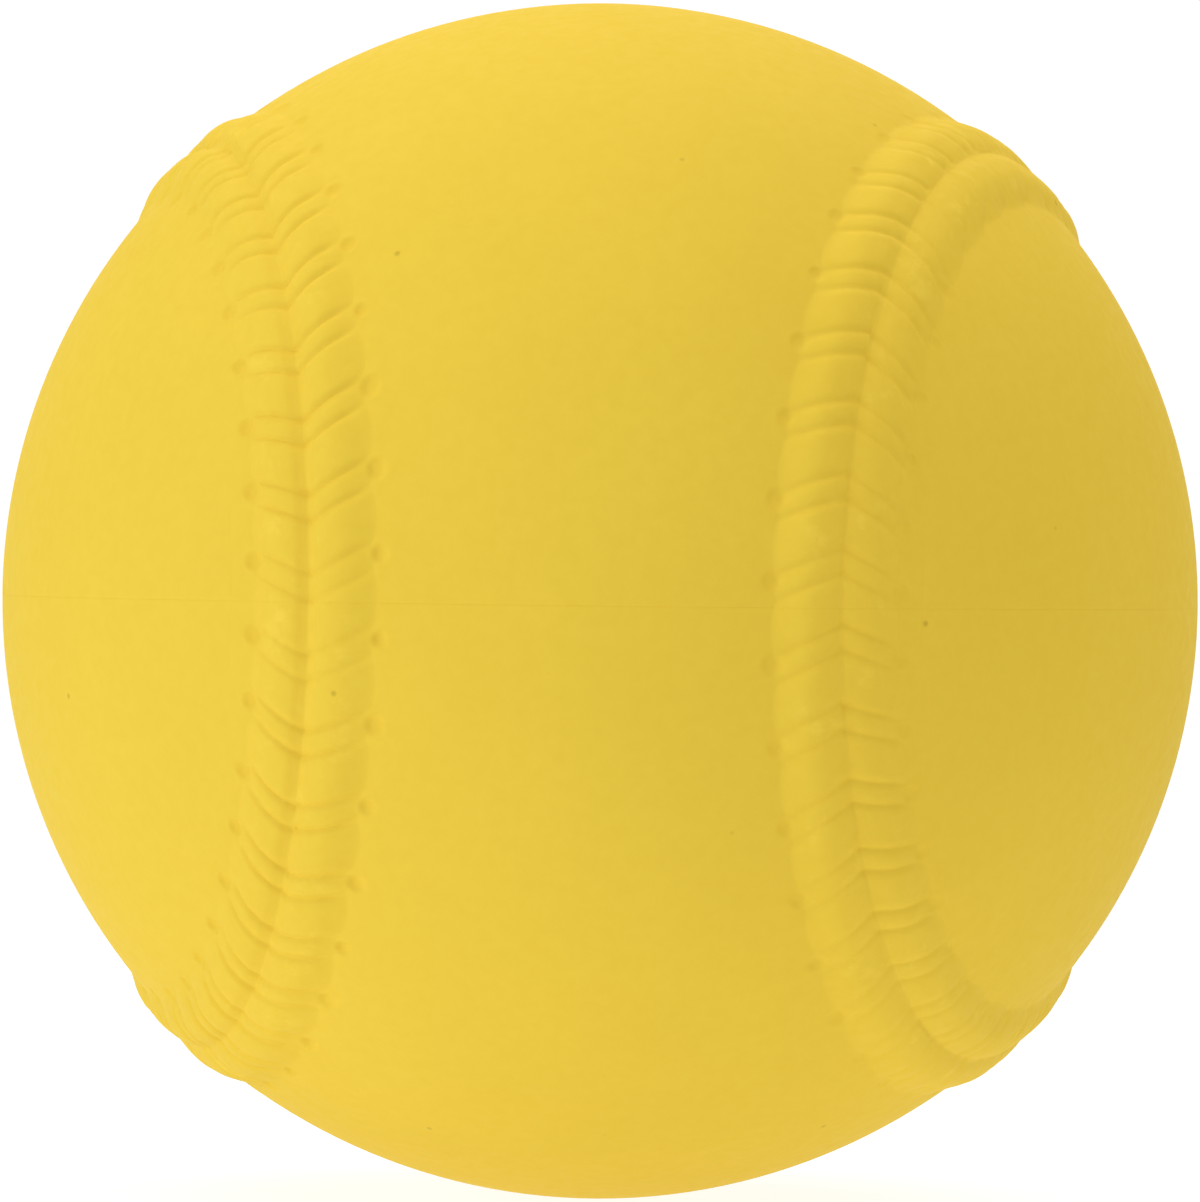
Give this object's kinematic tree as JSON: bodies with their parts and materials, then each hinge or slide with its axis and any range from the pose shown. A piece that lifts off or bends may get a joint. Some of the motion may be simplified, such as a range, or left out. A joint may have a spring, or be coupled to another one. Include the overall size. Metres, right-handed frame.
{
  "type": "softball",
  "caption": "Yellow 12-inch softball: a moulded cover in two bonded halves, with a raised seam and moulded stitches, over a wound cork core.",
  "frame": {"origin": "centre of the ball", "axes": "the half covers meet in the plane z = 0 and +Z points to the upper half; -Y points out through the neck of the upright panel, which faces the camera, and +Y through the neck of the crosswise panel at the back; +X points to the right of the picture"},
  "size_m": [0.097, 0.097, 0.097],
  "materials": {
    "cork": "cork and rubber granules, moulded",
    "yarn": "twisted cotton and polyester yarn",
    "latex": "dried latex cement, satin",
    "cover": "matt moulded rubber, yellow throughout"
  },
  "bodies": {
    "root": {"cork_core": "cork", "yarn_winding": "yarn", "latex_coat": "latex", "upper_half_cover": "cover", "lower_half_cover": "cover"}
  },
  "joints": []
}
